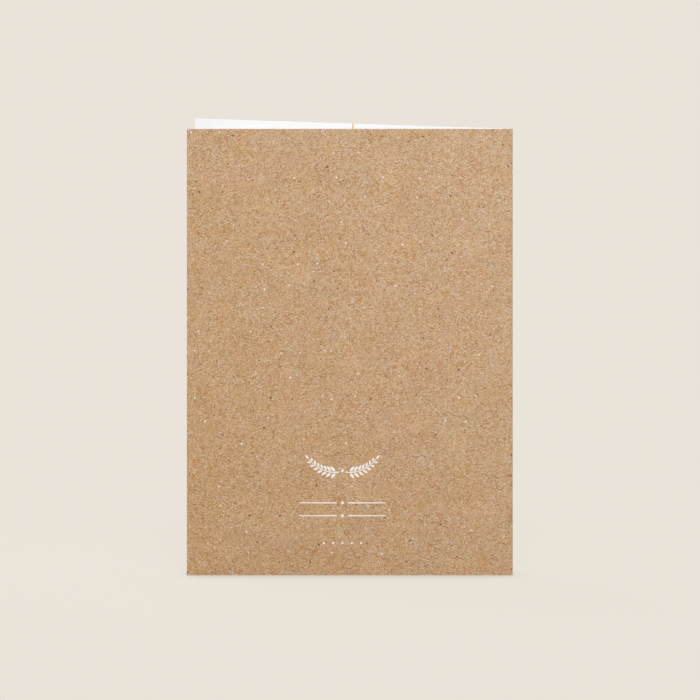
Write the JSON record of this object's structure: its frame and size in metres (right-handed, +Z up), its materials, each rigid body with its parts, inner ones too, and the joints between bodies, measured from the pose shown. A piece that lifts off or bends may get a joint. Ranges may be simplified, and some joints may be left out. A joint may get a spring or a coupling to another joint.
{
  "type": "greeting card",
  "caption": "Upright folded card of stiff paper standing slightly open on its bottom edge, kraft brown outside and white inside.",
  "frame": {"origin": "bottom centre of the box around the standing card, on the surface that it stands on", "axes": "+Z up along the fold, +X along the back panel towards the fold, -Y out of the back panel's printed face"},
  "size_m": [0.13, 0.0298, 0.18],
  "materials": {
    "card_stock": "matte card, kraft brown on the outside and at the cut edges, with a white lining on the inside"
  },
  "bodies": {
    "root": {"card": "card_stock"}
  },
  "joints": []
}
